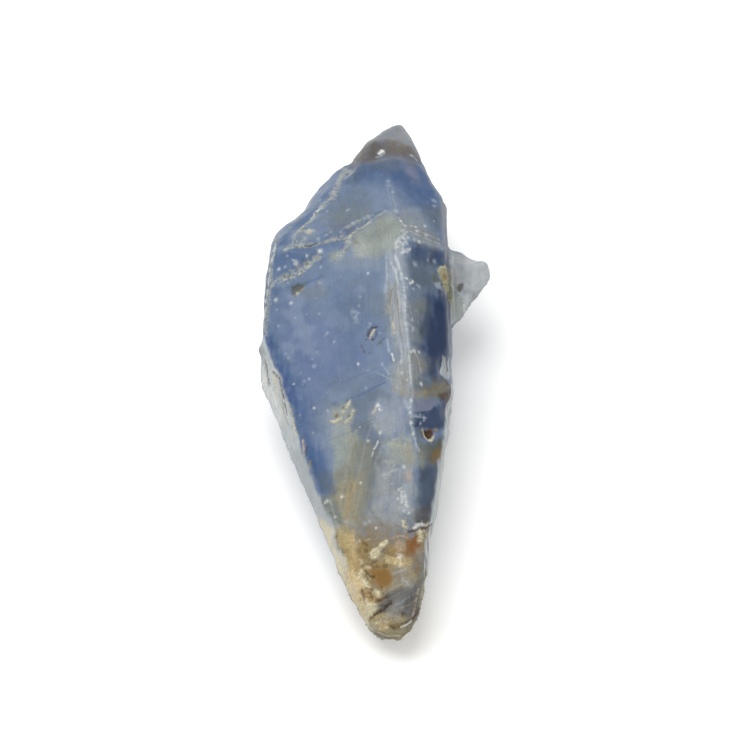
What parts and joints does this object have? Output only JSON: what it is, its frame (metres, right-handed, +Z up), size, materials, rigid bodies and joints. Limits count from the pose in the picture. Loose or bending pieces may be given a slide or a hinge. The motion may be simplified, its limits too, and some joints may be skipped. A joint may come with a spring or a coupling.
{
  "type": "rough blue sapphire crystal",
  "caption": "Loose rough crystal of blue sapphire: a long tapering spindle with a worn ridge, a pointed far end, a blunt crusted near tip, a thin side fin and a small flat spot that it lies on.",
  "frame": {"origin": "under the middle of the stone's box, at the height it rests on", "axes": "+Z up, +Y along the stone to its raised pointed end, -Y to its blunt near tip, +X to the side with the fin"},
  "size_m": [0.0118, 0.0302, 0.0096],
  "materials": {
    "blue_sapphire": "worn satin"
  },
  "bodies": {
    "root": {"sapphire_crystal": "blue_sapphire"}
  },
  "joints": []
}
